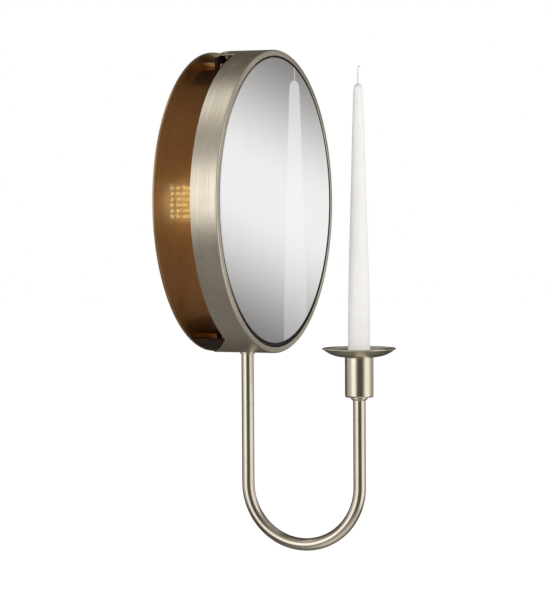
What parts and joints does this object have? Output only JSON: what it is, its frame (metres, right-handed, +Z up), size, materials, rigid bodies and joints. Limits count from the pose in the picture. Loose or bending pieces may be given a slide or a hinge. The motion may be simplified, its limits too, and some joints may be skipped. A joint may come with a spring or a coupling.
{
  "type": "wall sconce candle holder",
  "caption": "Wall sconce with a round mirror drum held off a bronze wall plate, and a swan-neck arm that carries a cup, drip pan and taper candle.",
  "frame": {"origin": "centre of the wall plate's back face, on the wall", "axes": "+Y into the wall, +Z up, +X to the right of a person facing the mirror"},
  "size_m": [0.3048, 0.1916, 0.5041],
  "materials": {
    "brushed_nickel": "warm brushed nickel, satin lacquered",
    "bronze_plate": "satin bronze, semi-reflective",
    "dark_bronze": "dark bronze lacquer",
    "dark_cover": "satin dark bronze",
    "bright_steel": "zinc plated",
    "mirror_silver": "silvered float glass",
    "black_rubber": "matt black",
    "backing_board": "pressed fibreboard",
    "foam_pad": "closed-cell foam",
    "board_white": "white solder mask",
    "light_chip": "phosphor yellow, lit",
    "driver_case": "moulded",
    "terminal_nylon": "nylon",
    "brass": "turned",
    "white_wax": "smooth wax",
    "cotton_wick": "waxed braid"
  },
  "bodies": {
    "sconce": {"wall_plate": "bronze_plate", "wire_bush": "black_rubber", "bracket_spacers": "dark_bronze", "upper_bracket": "dark_bronze", "lower_bracket": "dark_bronze", "bracket_screws": "bright_steel", "cradle": "dark_bronze", "drum_band": "brushed_nickel", "strap_screws": "bright_steel", "strap_nuts": "bright_steel", "drum_lugs": "dark_bronze", "rear_cover": "dark_cover", "cover_screws": "bright_steel", "cable_grommet": "black_rubber", "led_board": "board_white", "led_chips": "light_chip", "board_screws": "bright_steel", "led_driver": "driver_case", "driver_screws": "bright_steel", "terminal_block": "terminal_nylon", "mirror_backing": "backing_board", "mirror_pads": "foam_pad", "mirror_glass": "mirror_silver", "mirror_gasket": "black_rubber", "arm_tube": "brushed_nickel", "arm_collar": "brushed_nickel", "arm_nipple": "brass", "arm_washer": "bright_steel", "arm_nut": "brass", "neck_ring": "brushed_nickel", "cup_nipple": "brass", "candle_cup": "brushed_nickel", "cup_nut": "brass", "candle_liner": "brushed_nickel"},
    "pan": {"drip_pan": "brushed_nickel"},
    "taper": {"candle": "white_wax", "wick": "cotton_wick"}
  },
  "joints": [
    {"name": "candle_lift", "type": "slide", "parent": "sconce", "child": "taper", "axis": [0, 0, 1], "range_m": [0, 0.06]},
    {"name": "drip_pan_lift", "type": "slide", "parent": "sconce", "child": "pan", "axis": [0, 0, 1], "range_m": [0, 0.3]}
  ]
}
